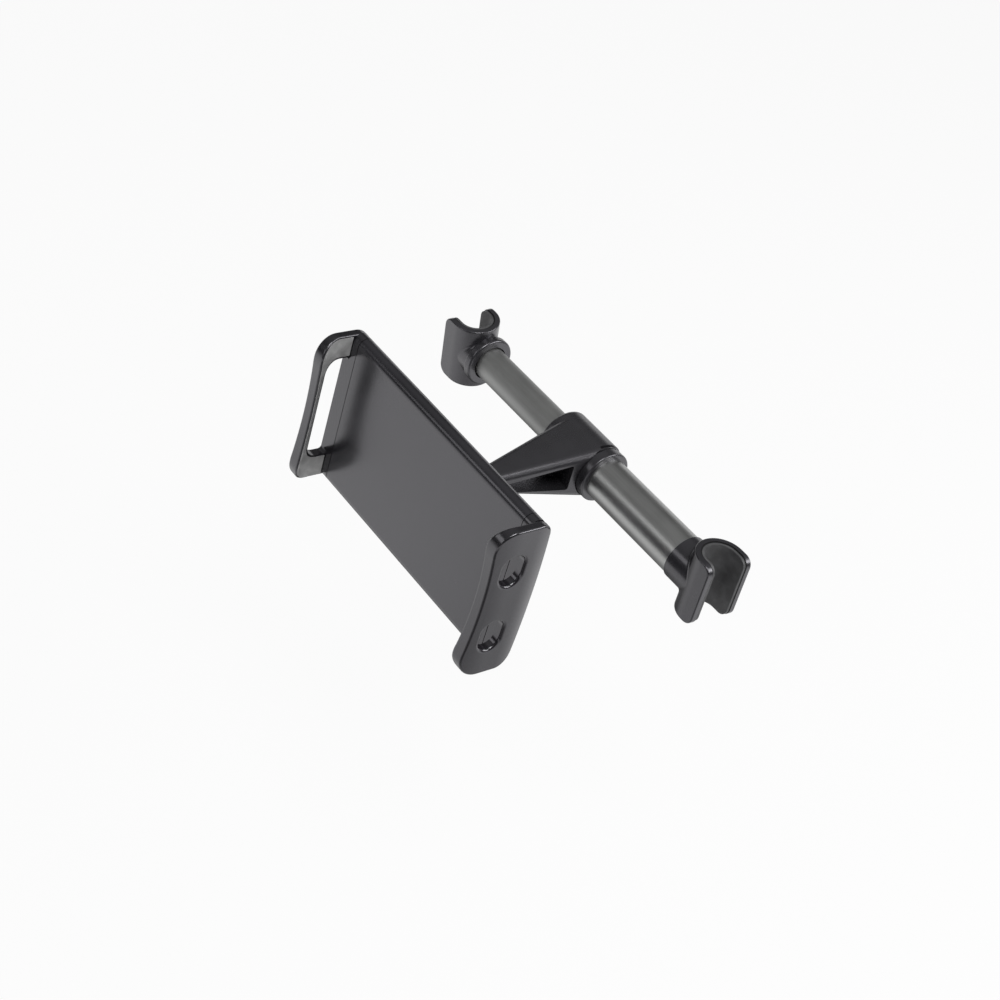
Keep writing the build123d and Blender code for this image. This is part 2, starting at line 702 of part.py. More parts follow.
def make_jaw(side):
    """Jaw with its end strip, clamping wall and inward lip, and its rack tongue.

    The rack of the right jaw runs above the pinion, that of the left jaw below it.
    """
    back_f = -PANEL_THICKNESS - JAW_BACK_OVERHANG
    bulge_f = back_f - JAW_BACK_BULGE
    waist_f = JAW_REACH - JAW_WAIST
    half_height = (PANEL_HEIGHT - JAW_TRIM) / 2
    middle_z = holder_z + JAW_RISE
    bulge_z = half_height - JAW_FRONT_RADIUS - JAW_FLAT
    hole_end_z = (HOLE_SPACING + HOLE_HEIGHT) / 2
    lip_inner = wall_inner - JAW_LIP_INSET
    lip_outer = wall_outer - JAW_LEAN
    with BuildPart() as jaw:
        with BuildSketch(Plane.XY.offset(middle_z - half_height)):
            with BuildLine():
                Polyline(
                    (side * wall_inner, front_y - JAW_BEND),
                    (side * wall_inner, front_y - bulge_f),
                    (side * (wall_outer - JAW_BACK_TURN), front_y - bulge_f))
                TangentArc(
                    (side * wall_outer, front_y + JAW_BACK_START),
                    (side * (wall_outer - JAW_BACK_TURN), front_y - bulge_f),
                    tangent=(0, 1))
                Line(
                    (side * wall_outer, front_y + JAW_BACK_START),
                    (side * wall_outer, front_y - JAW_BEND))
                TangentArc(
                    (side * wall_outer, front_y - JAW_BEND),
                    (side * lip_outer, front_y - JAW_REACH),
                    tangent=(0, -1))
                Line(
                    (side * lip_outer, front_y - JAW_REACH),
                    (side * lip_inner, front_y - JAW_REACH))
                TangentArc(
                    (side * wall_inner, front_y - JAW_BEND),
                    (side * lip_inner, front_y - JAW_REACH),
                    tangent=(0, -1))
            make_face()
        extrude(amount=2 * half_height)
        with BuildSketch(Plane.YZ.offset(side * lip_inner)) as outline:
            with BuildLine():
                Polyline(
                    (front_y - JAW_REACH, middle_z + bulge_z),
                    (front_y - JAW_REACH, middle_z + half_height),
                    (front_y - back_f, middle_z + half_height))
                ThreePointArc(
                    (front_y - back_f, middle_z + half_height),
                    (front_y - bulge_f, middle_z),
                    (front_y - back_f, middle_z - half_height))
                Polyline(
                    (front_y - back_f, middle_z - half_height),
                    (front_y - JAW_REACH, middle_z - half_height),
                    (front_y - JAW_REACH, middle_z - bulge_z))
                ThreePointArc(
                    (front_y - JAW_REACH, middle_z - bulge_z),
                    (front_y - waist_f, middle_z),
                    (front_y - JAW_REACH, middle_z + bulge_z))
            make_face()
            fillet(outline.vertices().group_by(Axis.Y)[-1].sort_by(Axis.X)[-1], JAW_BACK_TOP_RADIUS)
            fillet(outline.vertices().group_by(Axis.Y)[0].sort_by(Axis.X)[-1], JAW_BACK_BOTTOM_RADIUS)
            front_corners = outline.vertices().group_by(Axis.X)[0].sort_by(Axis.Y)
            fillet([front_corners[0], front_corners[-1]], JAW_FRONT_RADIUS)
            front_corners = outline.vertices().group_by(Axis.X)[0]
            shoulders = front_corners.sort_by(lambda corner: abs(corner.Y - middle_z))[:2]
            fillet(shoulders, JAW_SHOULDER_RADIUS)
        extrude(amount=side * (wall_outer - lip_inner), mode=Mode.INTERSECT)
        fillet(wall_rim(jaw, side), JAW_RIM_ROUND)
        fillet(wall_rim(jaw, -side), JAW_LIP_ROUND)
        with BuildSketch(Plane.YZ.offset(side * wall_inner)) as cutout:
            if side > 0:
                with Locations((front_y - HOLE_WIDTH / 2, middle_z)):
                    with GridLocations(0, HOLE_SPACING, 1, 2):
                        SlotOverall(HOLE_HEIGHT, HOLE_WIDTH, rotation=90)
            else:
                with Locations((front_y - WINDOW_FRONT / 2, middle_z + WINDOW_RISE)):
                    Rectangle(WINDOW_FRONT, WINDOW_HEIGHT)
                fillet(cutout.vertices().group_by(Axis.X)[0], WINDOW_FRONT_RADIUS)
                fillet(cutout.vertices().group_by(Axis.X)[-1], WINDOW_BACK_RADIUS)
        extrude(amount=side * 2 * JAW_WALL, both=True, mode=Mode.SUBTRACT)
        if side > 0:
            hole_rims = jaw.edges().filter_by_position(
                Axis.X, wall_outer - HOLE_RIM_ROUND, wall_outer).filter_by_position(
                Axis.Y, front_y - HOLE_WIDTH, front_y).filter_by_position(
                Axis.Z, middle_z - hole_end_z, middle_z + hole_end_z).filter_by(
                lambda edge: abs(edge.center().Z - middle_z) > HOLE_SPACING / 2 - HOLE_HEIGHT / 2)
            fillet(hole_rims, HOLE_RIM_ROUND)
        with BuildSketch(Plane.YZ.offset(side * strip_inner)):
            panel_profile()
        extrude(amount=side * (wall_inner - strip_inner))
        with BuildSketch(xz_plane(rack_front_y + RACK_THICKNESS)):
            with Locations((side * (strip_inner - rack_overlap) / 2, side * (rack_edge + RACK_BACK) / 2)):
                Rectangle(strip_inner + rack_overlap, RACK_BACK - rack_edge)
        extrude(amount=RACK_THICKNESS)
        with BuildSketch(xz_plane(rack_front_y + RACK_THICKNESS)):
            for step in range(RACK_TEETH):
                rack_tooth(side, (RACK_LEAD - step) * tooth_pitch)
        extrude(amount=RACK_THICKNESS, mode=Mode.SUBTRACT)
        with BuildSketch(xz_plane(rack_front_y + RACK_THICKNESS)):
            with Locations((side * SPRING_LUG_X, side * (RACK_BACK + JAW_SPRING_Z) / 2)):
                Rectangle(SPRING_LUG_WIDTH, JAW_SPRING_Z - RACK_BACK + SPRING_LUG_WIDTH)
        extrude(amount=SPRING_LUG_THICKNESS)
        with BuildSketch(xz_plane(rack_front_y + RACK_THICKNESS)):
            with Locations((side * SPRING_LUG_X, side * JAW_SPRING_Z)):
                Circle(SPRING_POST_OD / 2)
        extrude(amount=RACK_THICKNESS)
    return jaw


right_jaw = make_jaw(1)
left_jaw = make_jaw(-1)


def involute(angle):
    """Involute of an angle in radians."""
    return math.tan(angle) - angle


def tooth_half_angle(radius):
    """Half angle, in radians, of a pinion tooth at a radius."""
    at_pitch = (tooth_pitch / 2 - BACKLASH / 2) / (2 * pitch_r)
    at_radius = math.acos(min(1.0, base_r / radius))
    return at_pitch + involute(pressure) - involute(at_radius)


# Pinion between the two racks
root_r = pitch_r - DEDENDUM
tip_r = pitch_r + ADDENDUM
flank_radii = [base_r + (tip_r - base_r) * step / (FLANK_POINTS - 1) for step in range(FLANK_POINTS)]
right_flank = [
    (radius * math.sin(tooth_half_angle(radius)), radius * math.cos(tooth_half_angle(radius)))
    for radius in flank_radii]
left_flank = [(-x, z) for x, z in reversed(right_flank)]
foot_x = base_r * math.sin(tooth_half_angle(base_r))
foot_z = root_r - TOOTH_SINK
with BuildPart() as pinion:
    with BuildSketch(xz_plane(rack_front_y + RACK_THICKNESS)):
        Circle(root_r)
        with PolarLocations(0, PINION_TEETH):
            Polygon((foot_x, foot_z), *right_flank, *left_flank, (-foot_x, foot_z), align=None)
        Circle(PINION_BORE / 2, mode=Mode.SUBTRACT)
    extrude(amount=RACK_THICKNESS)


def make_jaw_spring(side):
    """Tension spring with a loop at each end: one on the jaw's pin, one on a post in the housing."""
    lug_x = side * SPRING_LUG_X
    post_x = lug_x - side * JAW_SPRING_LENGTH
    spring_z = holder_z + side * JAW_SPRING_Z
    wire = JAW_SPRING_WIRE
    coil_r = (JAW_SPRING_OD - wire) / 2
    loop_r = SPRING_POST_OD / 2 + SPRING_LOOP_GAP
    coil_left = min(lug_x, post_x) + JAW_SPRING_LEG
    coil_length = JAW_SPRING_LENGTH - 2 * JAW_SPRING_LEG
    leg_length = JAW_SPRING_LEG - loop_r
    with BuildPart() as spring:
        with BuildLine():
            coil = Helix(
                coil_length / JAW_SPRING_TURNS,
                coil_length,
                coil_r,
                center=(coil_left, mid_y, spring_z - coil_r),
                direction=(1, 0, 0))
        with BuildSketch(Plane(origin=coil @ 0, z_dir=coil % 0)):
            RegularPolygon(wire / 2, WIRE_SIDES)
        sweep(path=coil)
        for end, towards in ((coil @ 0, -1), (coil @ 1, 1)):
            with BuildSketch(Plane.YZ.offset(end.X)):
                with Locations((end.Y, end.Z)):
                    RegularPolygon(wire / 2, WIRE_SIDES)
            extrude(amount=towards * leg_length)
        for pin_x in (lug_x, post_x):
            with BuildSketch(xz_plane(mid_y + wire / 2)):
                with Locations((pin_x, side * JAW_SPRING_Z)):
                    Circle(loop_r + wire)
                    Circle(loop_r, mode=Mode.SUBTRACT)
            extrude(amount=wire)
    return spring


right_jaw_spring = make_jaw_spring(1)
left_jaw_spring = make_jaw_spring(-1)

# The hooks and the arm stand as in use: turned a little about the rod
pieces = {
    "outer_tube": outer_tube.part,
    "inner_tube": inner_tube.part,
    "guide_bush": guide_bush.part,
    "piston": piston.part,
    "rod_spring": rod_spring.part,
    "right_hook": right_hook.part.rotate(Axis.X, RIGHT_HOOK_TURN),
    "right_pad": right_pad.part.rotate(Axis.X, RIGHT_HOOK_TURN),
    "left_hook": left_hook.part.rotate(Axis.X, LEFT_HOOK_TURN),
    "left_pad": left_pad.part.rotate(Axis.X, LEFT_HOOK_TURN),
    "end_plug": end_plug.part,
    "hook_screw": hook_screw.part,
    "collar_ring": collar_ring.part,
    "bracket_arm": bracket_arm.part.rotate(Axis.X, ARM_DROOP),
    "ball_stud": ball_stud.part.rotate(Axis.X, ARM_DROOP),
    "ball_liner": ball_liner.part,
    "lock_nut": lock_nut.part,
    "front_panel": front_panel.part,
    "back_cover": back_cover.part,
    "cover_screws": cover_screws.part,
    "right_jaw": right_jaw.part,
    "left_jaw": left_jaw.part,
    "pinion": pinion.part,
    "right_jaw_spring": right_jaw_spring.part,
    "left_jaw_spring": left_jaw_spring.part,
}
for name, piece in pieces.items():
    piece.label = name
    export_step(piece, f"parts/{name}.step")
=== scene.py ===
"""Looks of a headrest tablet mount.

Charcoal moulded plastic on satin anodised tubes, over a pale studio floor.
"""

import json
import logging
import math
from dataclasses import dataclass
from enum import Enum
from typing import Any, Mapping, Union

import bmesh
import bpy
from mathutils import Matrix, Vector

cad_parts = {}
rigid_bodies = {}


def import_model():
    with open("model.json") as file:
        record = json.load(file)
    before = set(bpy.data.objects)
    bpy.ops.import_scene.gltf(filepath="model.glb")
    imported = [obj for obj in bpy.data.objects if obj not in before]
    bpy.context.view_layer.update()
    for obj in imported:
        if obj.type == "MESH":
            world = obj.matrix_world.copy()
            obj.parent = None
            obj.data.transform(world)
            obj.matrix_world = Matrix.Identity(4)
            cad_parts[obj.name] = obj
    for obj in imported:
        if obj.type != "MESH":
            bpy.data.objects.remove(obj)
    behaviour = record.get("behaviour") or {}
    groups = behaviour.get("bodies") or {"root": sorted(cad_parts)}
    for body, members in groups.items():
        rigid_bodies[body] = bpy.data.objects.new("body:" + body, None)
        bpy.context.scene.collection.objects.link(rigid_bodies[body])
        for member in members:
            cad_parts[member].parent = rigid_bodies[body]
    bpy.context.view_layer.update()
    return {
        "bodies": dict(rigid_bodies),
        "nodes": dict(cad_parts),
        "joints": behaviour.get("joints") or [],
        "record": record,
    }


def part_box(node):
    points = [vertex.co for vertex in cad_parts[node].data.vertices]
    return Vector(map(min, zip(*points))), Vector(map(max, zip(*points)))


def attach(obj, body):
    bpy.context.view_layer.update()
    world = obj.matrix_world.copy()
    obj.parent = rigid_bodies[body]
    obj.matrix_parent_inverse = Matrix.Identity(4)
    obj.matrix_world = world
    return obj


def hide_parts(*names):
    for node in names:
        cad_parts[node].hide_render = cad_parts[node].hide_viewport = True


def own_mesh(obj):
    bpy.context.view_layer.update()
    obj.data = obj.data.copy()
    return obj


LOG = logging.getLogger("tablet_mount")
MM = 0.001
QUARTER_TURN = 90.0
NOISE_MIDDLE = 0.5
MIX_LOW, MIX_HIGH, MIX_RESULT = 6, 7, 2

Tone = tuple[float, float, float]
Place = tuple[float, float, float]
Spot = tuple[float, float]
Band = tuple[float, float]
Operand = Union["Signal", float, int]

WHITE: Tone = (1.0, 1.0, 1.0)
BLACK: Tone = (0.0, 0.0, 0.0)
STAGE_MIDDLE: Place = (0.0, -0.04, 0.0)


class Lane(Enum):
    """Way that a finish is drawn out, as the factors on its coordinates."""

    ALONG_X = (0.02, 1.0, 1.0)
    ALONG_Y = (1.0, 0.35, 1.0)
    ACROSS_Y = (0.3, 1.0, 0.3)
    EVEN = (1.0, 1.0, 1.0)
    LEVEL = (1.0, 1.0, 0.0)


class Ray(Enum):
    """Kinds of light ray that a stage surface answers in its own way."""

    CAMERA = "Is Camera Ray"
    GLOSSY = "Is Glossy Ray"
    TRANSMISSION = "Is Transmission Ray"


class Signal:
    """A shader output that takes part in Python expressions."""

    def __init__(self, graph: "Graph", socket: bpy.types.NodeSocket) -> None:
        """Wrap one output socket of a graph."""
        self.graph = graph
        self.socket = socket

    def _math(self, operation: str, left: Operand, right: Operand) -> "Signal":
        """Add a Math node.

        Args:
            operation: Blender's name of the operation.
            left: First operand.
            right: Second operand.

        Returns:
            The node's value.
        """
        return self.graph.node("ShaderNodeMath", {"operation": operation}, {0: left, 1: right})

    def __add__(self, other: Operand) -> "Signal":
        """Sum with another value."""
        return self._math("ADD", self, other)

    def __radd__(self, other: Operand) -> "Signal":
        """Sum with a number on the left."""
        return self._math("ADD", other, self)

    def __sub__(self, other: Operand) -> "Signal":
        """Difference from another value."""
        return self._math("SUBTRACT", self, other)

    def __rsub__(self, other: Operand) -> "Signal":
        """Difference of a number and this value."""
        return self._math("SUBTRACT", other, self)

    def __mul__(self, other: Operand) -> "Signal":
        """Product with another value."""
        return self._math("MULTIPLY", self, other)

    def __rmul__(self, other: Operand) -> "Signal":
        """Product with a number on the left."""
        return self._math("MULTIPLY", other, self)

    def __pow__(self, other: Operand) -> "Signal":
        """Power of this value."""
        return self._math("POWER", self, other)

    def clipped(self) -> "Signal":
        """This value held between 0 and 1."""
        return self.graph.node("ShaderNodeClamp", {}, {"Value": self})

    def between(self, low: float, high: float) -> "Signal":
        """Ramp this value smoothly from 0 at low to 1 at high.

        Args:
            low: Value that gives 0.
            high: Value that gives 1.

        Returns:
            The ramped value.
        """
        return self.graph.node(
            "ShaderNodeMapRange",
            {"interpolation_type": "SMOOTHSTEP"},
            {"Value": self, "From Min": low, "From Max": high})


class Graph:
    """Node tree of one material or world, built from Python expressions."""

    def __init__(self, tree: bpy.types.NodeTree) -> None:
        """Empty the tree and keep it."""
        tree.nodes.clear()
        self.tree = tree

    def node(
        self,
        kind: str,
        settings: Mapping[str, Any],
        inputs: Mapping[Union[str, int], Any],
        output: Union[str, int] = 0,
    ) -> Signal:
        """Add one node of any kind.

        Args:
            kind: Blender's type name of the node.
            settings: Attributes that are set first.
            inputs: Values or signals by socket name or number.
            output: Name or number of the output that is wanted.

        Returns:
            The wanted output.
        """
        made = self.tree.nodes.new(kind)
        for key, value in settings.items():
            setattr(made, key, value)
        for key, value in inputs.items():
            if isinstance(value, Signal):
                self.tree.links.new(value.socket, made.inputs[key])
            else:
                made.inputs[key].default_value = value
        return Signal(self, made.outputs[output] if len(made.outputs) else made.inputs[0])

    def coordinates(self, lane: Lane = Lane.EVEN) -> Signal:
        """Object coordinates in metres, drawn out for streaked finishes.

        Args:
            lane: Way that they are drawn out.

        Returns:
            The coordinate vector.
        """
        place = self.node("ShaderNodeTexCoord", {}, {}, "Object")
        return self.node(
            "ShaderNodeVectorMath", {"operation": "MULTIPLY"}, {0: place, 1: lane.value})

    def noise(
        self,
        size: float,
        where: Signal,
        detail: float = 3.0,
        roughness: float = 0.5,
    ) -> Signal:
        """Noise whose features have about the given size.

        Args:
            size: Feature size in metres.
            where: Coordinates it is read at.
            detail: Octaves.
            roughness: Weight of the finer octaves.

        Returns:
            Values around 0.5.
        """
        return self.node(
            "ShaderNodeTexNoise",
            {},
            {"Vector": where, "Scale": 1.0 / size, "Detail": detail, "Roughness": roughness},
            "Fac")

    def blend(self, factor: Operand, low: Any, high: Any) -> Signal:
        """Mix two colours.

        Args:
            factor: Share of the second colour.
            low: First colour or signal.
            high: Second colour or signal.

        Returns:
            The mixed colour.
        """
        return self.node(
            "ShaderNodeMix",
            {"data_type": "RGBA"},
            {"Factor": factor, MIX_LOW: self._rgba(low), MIX_HIGH: self._rgba(high)},
            MIX_RESULT)

    def _rgba(self, tone: Any) -> Any:
        """A colour with its alpha, or a signal as it is."""
        return tone if isinstance(tone, Signal) else (*tone, 1.0)

    def bump(self, height: Signal, depth: float) -> Signal:
        """Bump of a height signal.

        Args:
            height: Heights from 0 to 1.
            depth: Real height of a step from 0 to 1, in metres.

        Returns:
            The bent normal.
        """
        return self.node(
            "ShaderNodeBump", {}, {"Height": height, "Distance": depth, "Strength": 1.0}, "Normal")

    def surface(self, inputs: Mapping[Union[str, int], Any]) -> None:
        """Close the graph with a Principled shader.

        Args:
            inputs: Values or signals of the shader's sockets.
        """
        shader = self.node("ShaderNodeBsdfPrincipled", {}, inputs, "BSDF")
        self.node("ShaderNodeOutputMaterial", {}, {"Surface": shader})


def new_material(name: str) -> tuple[bpy.types.Material, Graph]:
    """Make an empty node material.

    Args:
        name: Name of the finish.

    Returns:
        The material and its graph.
    """
    material = bpy.data.materials.new(name)
    material.use_nodes = True
    return material, Graph(material.node_tree)


def tinted(tone: Tone, factor: float, haze: float = 0.0) -> Tone:
    """A lighter or darker form of a colour.

    Args:
        tone: The colour.
        factor: Factor on each of its parts.
        haze: Grey that is added.

    Returns:
        The new colour.
    """
    red, green, blue = (factor * part + haze for part in tone)
    return red, green, blue


@dataclass(frozen=True)
class MouldedPlastic:
    """Charcoal moulded plastic with a fine spark-eroded grain and faint handling marks."""

    name: str
    colour: Tone
    roughness: float
    ior: float = 1.86
    gloss_tint: Tone = (0.955, 0.94, 1.0)
    grain: float = 0.35 * MM
    grain_depth: float = 0.0025 * MM
    grain_rough: float = 0.06
    smudge: float = 14.0 * MM
    smudge_band: Band = (0.32, 0.68)
    smudge_tones: Band = (0.86, 1.16)
    smudge_rough: float = 0.10
    scuff: float = 2.2 * MM
    dust_band: Band = (0.66, 0.80)
    dust_tone: float = 1.7
    dust_haze: float = 0.006
    dust_share: float = 0.22
    dust_rough: float = 0.06

    def material(self) -> bpy.types.Material:
        """Build the finish.

        Returns:
            Its material.
        """
        material, graph = new_material(self.name)
        where = graph.coordinates()
        grain = graph.noise(self.grain, where, detail=2.0, roughness=0.6)
        smudge = graph.noise(self.smudge, where, detail=3.0)
        along = graph.coordinates(Lane.ALONG_Y)
        scuff = graph.noise(self.scuff, along, detail=5.0, roughness=0.7)
        dust = scuff.between(*self.dust_band)
        darker, lighter = (tinted(self.colour, factor) for factor in self.smudge_tones)
        tone = graph.blend(smudge.between(*self.smudge_band), darker, lighter)
        dusty = tinted(self.colour, self.dust_tone, self.dust_haze)
        speckled = graph.blend(dust * self.dust_share, tone, dusty)
        rough = self.roughness + (smudge - NOISE_MIDDLE) * self.smudge_rough
        rough = rough + (grain - NOISE_MIDDLE) * self.grain_rough + dust * self.dust_rough
        graph.surface({
            "Base Color": speckled,
            "Roughness": rough.clipped(),
            "Normal": graph.bump(grain, self.grain_depth),
            "IOR": self.ior,
            "Specular Tint": (*self.gloss_tint, 1.0)})
        return material


@dataclass(frozen=True)
class AnodisedTube:
    """Drawn aluminium tube, anodised dark and satin, with streaks along its length."""

    name: str
    colour: Tone
    roughness: float
    lane: Lane = Lane.ALONG_X
    streak: float = 0.28 * MM
    streak_depth: float = 0.003 * MM
    streak_share: float = 0.7
    streak_rough: float = 0.12
    cloud: float = 9.0 * MM
    cloud_share: float = 0.3
    cloud_rough: float = 0.06
    tone_band: Band = (0.3, 0.7)
    tones: Band = (0.92, 1.08)
    pit: float = 0.42 * MM
    pit_band: Band = (0.68, 0.80)
    pit_rough: float = 0.08

    def material(self) -> bpy.types.Material:
        """Build the finish.

        Returns:
            Its material.
        """
        material, graph = new_material(self.name)
        where = graph.coordinates()
        along = graph.coordinates(self.lane)
        streak = graph.noise(self.streak, along, detail=4.0, roughness=0.65)
        cloud = graph.noise(self.cloud, where, detail=2.0)
        pits = graph.noise(self.pit, where, detail=1.0).between(*self.pit_band)
        darker, lighter = (tinted(self.colour, factor) for factor in self.tones)
        mottle = streak * self.streak_share + cloud * self.cloud_share
        tone = graph.blend(mottle.between(*self.tone_band), darker, lighter)
        rough = self.roughness + (streak - NOISE_MIDDLE) * self.streak_rough
        rough = rough + (cloud - NOISE_MIDDLE) * self.cloud_rough + pits * self.pit_rough
        graph.surface({
            "Base Color": tone,
            "Metallic": 1.0,
            "Roughness": rough.clipped(),
            "Normal": graph.bump(streak, self.streak_depth)})
        return material


@dataclass(frozen=True)
class LinerGrooveShade:
    """Painted shade in the groove where a cradle's liner meets its shell, measured out from the
    post's axis.

    The post stands at a place along X, the cradle's mouth opens towards a sign of X, and the
    cradle is turned about the rod.
    """

    post: float
    mouth: float
    turn: float
    start: float = 7.35 * MM
    full: float = 7.50 * MM
    shade: float = 0.10

    def mask(self, graph: Graph) -> Signal:
        """Where the painted groove shade lies on the liner.

        Args:
            graph: Graph of the liner.

        Returns:
            1 in the painted shade and 0 off it.
        """
        place = graph.coordinates()
        x, y, z = (
            graph.node("ShaderNodeSeparateXYZ", {}, {"Vector": place}, axis) for axis in "XYZ")
        across = y * math.cos(self.turn) + z * math.sin(self.turn)
        past = (x - self.post) * self.mouth
        behind = graph.node("ShaderNodeMath", {"operation": "MINIMUM"}, {0: past, 1: 0.0})
        # painted shade: a thin ring round the post's axis, darkened where the groove's shadow would
        # fall
        return ((behind * behind + across * across) ** 0.5).between(self.start, self.full)


@dataclass(frozen=True)
class RubberLiner:
    """Soft rubber with a matt, slightly dusty skin, and where given a painted shade in the groove
    by its shell.
    """

    name: str
    colour: Tone
    roughness: float
    groove_shade: LinerGrooveShade | None = None
    groove_shade_rough: float = 0.4
    ior: float = 1.45
    pore: float = 0.22 * MM
    pore_depth: float = 0.03 * MM
    bloom: float = 5.0 * MM
    bloom_band: Band = (0.4, 0.75)
    bloom_tone: float = 1.5
    bloom_haze: float = 0.004
    bloom_rough: float = 0.12

    def material(self) -> bpy.types.Material:
        """Build the finish.

        Returns:
            Its material.
        """
        material, graph = new_material(self.name)
        where = graph.coordinates()
        pore = graph.noise(self.pore, where, detail=2.0)
        bloom = graph.noise(self.bloom, where, detail=4.0)
        greyed = tinted(self.colour, self.bloom_tone, self.bloom_haze)
        tone = graph.blend(bloom.between(*self.bloom_band), self.colour, greyed)
        rough = self.roughness + (bloom - NOISE_MIDDLE) * self.bloom_rough
        # painted shade: the liner's colour is darkened in the groove against its shell
        if self.groove_shade is not None:
            mask = self.groove_shade.mask(graph)
            tone = graph.blend(mask, tone, tinted(self.colour, self.groove_shade.shade))
            rough = rough + mask * self.groove_shade_rough
        graph.surface({
            "Base Color": tone,
            "Roughness": rough.clipped(),
            "Normal": graph.bump(pore, self.pore_depth),
            "IOR": self.ior})
        return material


@dataclass(frozen=True)
class PlatedSteel:
    """Plated steel of screws, the ball and spring wire, with turning marks and a little tarnish."""

    name: str
    colour: Tone
    roughness: float
    lane: Lane = Lane.ACROSS_Y
    mark: float = 0.18 * MM
    mark_depth: float = 0.004 * MM
    mark_rough: float = 0.12
    tarnish: float = 3.0 * MM
    tarnish_band: Band = (0.45, 0.75)
    tarnish_tone: float = 0.62
    tarnish_share: float = 0.6
    tarnish_rough: float = 0.14

    def material(self) -> bpy.types.Material:
        """Build the finish.

        Returns:
            Its material.
        """
        material, graph = new_material(self.name)
        mark = graph.noise(self.mark, graph.coordinates(self.lane), detail=3.0)
        patches = graph.noise(self.tarnish, graph.coordinates(), detail=4.0)
        tarnish = patches.between(*self.tarnish_band)
        dulled = tinted(self.colour, self.tarnish_tone)
        tone = graph.blend(tarnish * self.tarnish_share, self.colour, dulled)
        rough = self.roughness + tarnish * self.tarnish_rough
        rough = rough + (mark - NOISE_MIDDLE) * self.mark_rough
        graph.surface({
            "Base Color": tone,
            "Metallic": 1.0,
            "Roughness": rough.clipped(),
            "Normal": graph.bump(mark, self.mark_depth)})
        return material


@dataclass(frozen=True)
class FloorShade:
    """Round spot of the floor that gloss sees darker, most in its core and not past its edge."""

    place: Place
    core: float
    edge: float
    share: float


@dataclass(frozen=True)
class StudioPaper:
    """Pale seamless paper of the floor, white to the camera where no shadow falls.

    Gloss sees it white near the object, dimmer further off, and shaded in three round spots: in
    front to the right, under the rod, and beside the right jaw.
    """

    name: str
    colour: Tone
    glow: float
    fibre: float = 1.5 * MM
    fibre_tone: float = 0.985
    centre: Place = STAGE_MIDDLE
    bright_reach: float = 0.50
    dim_reach: float = 1.60
    dim_share: float = 0.60
    shades: tuple[FloorShade, ...] = (
        FloorShade(place=(0.25, -0.27, 0.0), core=0.06, edge=0.40, share=0.90),
        FloorShade(place=(-0.09, 0.03, 0.0), core=0.06, edge=0.17, share=0.85),
        FloorShade(place=(0.17, 0.03, 0.0), core=0.05, edge=0.13, share=0.24))

    def _distance(self, graph: Graph, point: Place) -> Signal:
        """Distance along the floor from a point, in metres.

        Args:
            graph: Graph of the paper.
            point: Place on the floor.

        Returns:
            The distance.
        """
        flat = graph.coordinates(Lane.LEVEL)
        offset = graph.node("ShaderNodeVectorMath", {"operation": "SUBTRACT"}, {0: flat, 1: point})
        return graph.node("ShaderNodeVectorMath", {"operation": "LENGTH"}, {0: offset}, "Value")

    def material(self) -> bpy.types.Material:
        """Build the finish.

        Returns:
            Its material.
        """
        material, graph = new_material(self.name)
        fibre = graph.noise(self.fibre, graph.coordinates(), detail=3.0)
        tone = graph.blend(fibre, tinted(self.colour, self.fibre_tone), self.colour)
        camera, glossy, through = (
            graph.node("ShaderNodeLightPath", {}, {}, ray.value) for ray in Ray)
        far = self._distance(graph, self.centre).between(self.bright_reach, self.dim_reach)
        lit = 1.0 - far * self.dim_share
        for shade in self.shades:
            clear = self._distance(graph, shade.place).between(shade.core, shade.edge)
            lit = lit * (1.0 - (1.0 - clear) * shade.share)
        shown = graph.blend(glossy * (1.0 - lit), WHITE, BLACK)
        white = graph.node("ShaderNodeEmission", {}, {"Color": shown, "Strength": 1.0})
        paper = graph.node("ShaderNodeBsdfDiffuse", {}, {"Color": tone})
        share = (camera * self.glow + glossy + through).clipped()
        mixed = graph.node("ShaderNodeMixShader", {}, {"Fac": share, 1: paper, 2: white})
        graph.node("ShaderNodeOutputMaterial", {}, {"Surface": mixed})
        return material


HOUSING = MouldedPlastic("charcoal_housing_plastic", (0.018, 0.0175, 0.021), 0.24)
CLAMP = MouldedPlastic("charcoal_clamp_plastic", (0.016, 0.0155, 0.018), 0.21)
BRACKET = MouldedPlastic("charcoal_bracket_plastic", (0.023, 0.0225, 0.025), 0.28)
HOOK = MouldedPlastic("charcoal_hook_plastic", (0.026, 0.0255, 0.029), 0.25)
NYLON = MouldedPlastic("dark_nylon", (0.034, 0.034, 0.036), 0.48, grain=0.2 * MM)
OUTER_TUBE = AnodisedTube("gunmetal_outer_tube", (0.470, 0.474, 0.468), 0.36)
INNER_TUBE = AnodisedTube("gunmetal_inner_tube", (0.400, 0.404, 0.398), 0.54)
# each hook liner carries a painted groove shade round its post
RIGHT_LINER = RubberLiner(
    "black_right_liner", (0.085, 0.085, 0.088), 0.52,
    LinerGrooveShade(post=80.8 * MM, mouth=1.0, turn=math.radians(2.0)))
LEFT_LINER = RubberLiner(
    "black_left_liner", (0.085, 0.085, 0.088), 0.52,
    LinerGrooveShade(post=-78.0 * MM, mouth=-1.0, turn=math.radians(9.0)))
LINING = RubberLiner("grey_clamp_lining", (0.340, 0.340, 0.340), 0.46)
STEEL = PlatedSteel("plated_steel", (0.55, 0.55, 0.56), 0.30)
WIRE = PlatedSteel("spring_wire", (0.50, 0.50, 0.50), 0.34, mark=0.1 * MM)
PAPER = StudioPaper("pale_studio_paper", (0.95, 0.95, 0.95), glow=0.92)

Finish = Union[MouldedPlastic, AnodisedTube, RubberLiner, PlatedSteel, StudioPaper]


